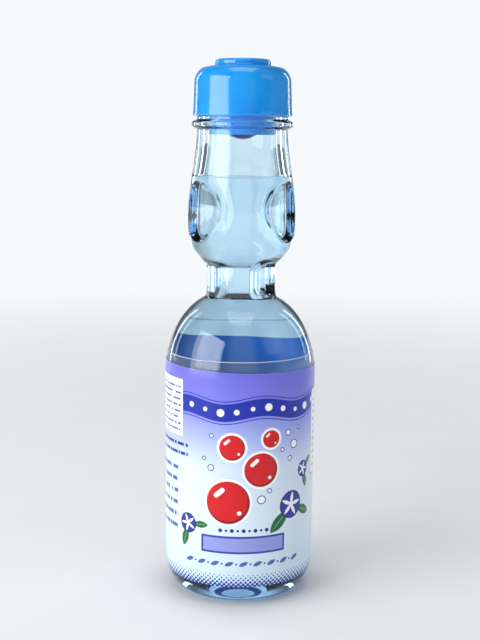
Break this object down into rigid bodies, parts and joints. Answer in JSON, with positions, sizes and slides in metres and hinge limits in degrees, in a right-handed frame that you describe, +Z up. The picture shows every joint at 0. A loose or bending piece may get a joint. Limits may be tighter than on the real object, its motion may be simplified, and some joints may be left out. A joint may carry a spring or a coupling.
{
  "type": "marble stopper bottle",
  "caption": "Clear glass bottle closed by a marble pressed against a seal, with a pinched waist, a dimpled neck bulb, a snapped-on mouthpiece, an over-cap with push-out plunger and a label.",
  "frame": {"origin": "centre of the base, on the surface that the bottle stands on", "axes": "+Z up along the bottle's axis; the front of the label faces -Y; the thumb dimples lie at 57.5 degrees to either side of -Y"},
  "size_m": [0.0582, 0.058, 0.2036],
  "materials": {
    "clear_glass": "clear polished soda-lime glass with a faint blue tint",
    "marble_glass": "clear pale blue glass",
    "seal_rubber": "matt, pale grey",
    "mouthpiece_plastic": "glossy moulded polyethylene",
    "cap_plastic": "glossy moulded polyethylene",
    "label_film": "glossy printed film, clear above the print"
  },
  "bodies": {
    "glass": {"bottle": "clear_glass", "gasket": "seal_rubber", "mouthpiece": "mouthpiece_plastic", "label": "label_film"},
    "ball": {"marble": "marble_glass"},
    "over_cap": {"opener_ring": "cap_plastic"},
    "push_plunger": {"plunger": "cap_plastic"}
  },
  "joints": [
    {"name": "marble_drop", "type": "slide", "parent": "glass", "child": "ball", "axis": [0, 0, -1], "range_m": [0, 0.0468]},
    {"name": "cap_lift", "type": "slide", "parent": "glass", "child": "over_cap", "axis": [0, 0, 1], "range_m": [0, 0.03]},
    {"name": "plunger_pop", "type": "slide", "parent": "over_cap", "child": "push_plunger", "axis": [0, 0, 1], "range_m": [0, 0.015]}
  ]
}
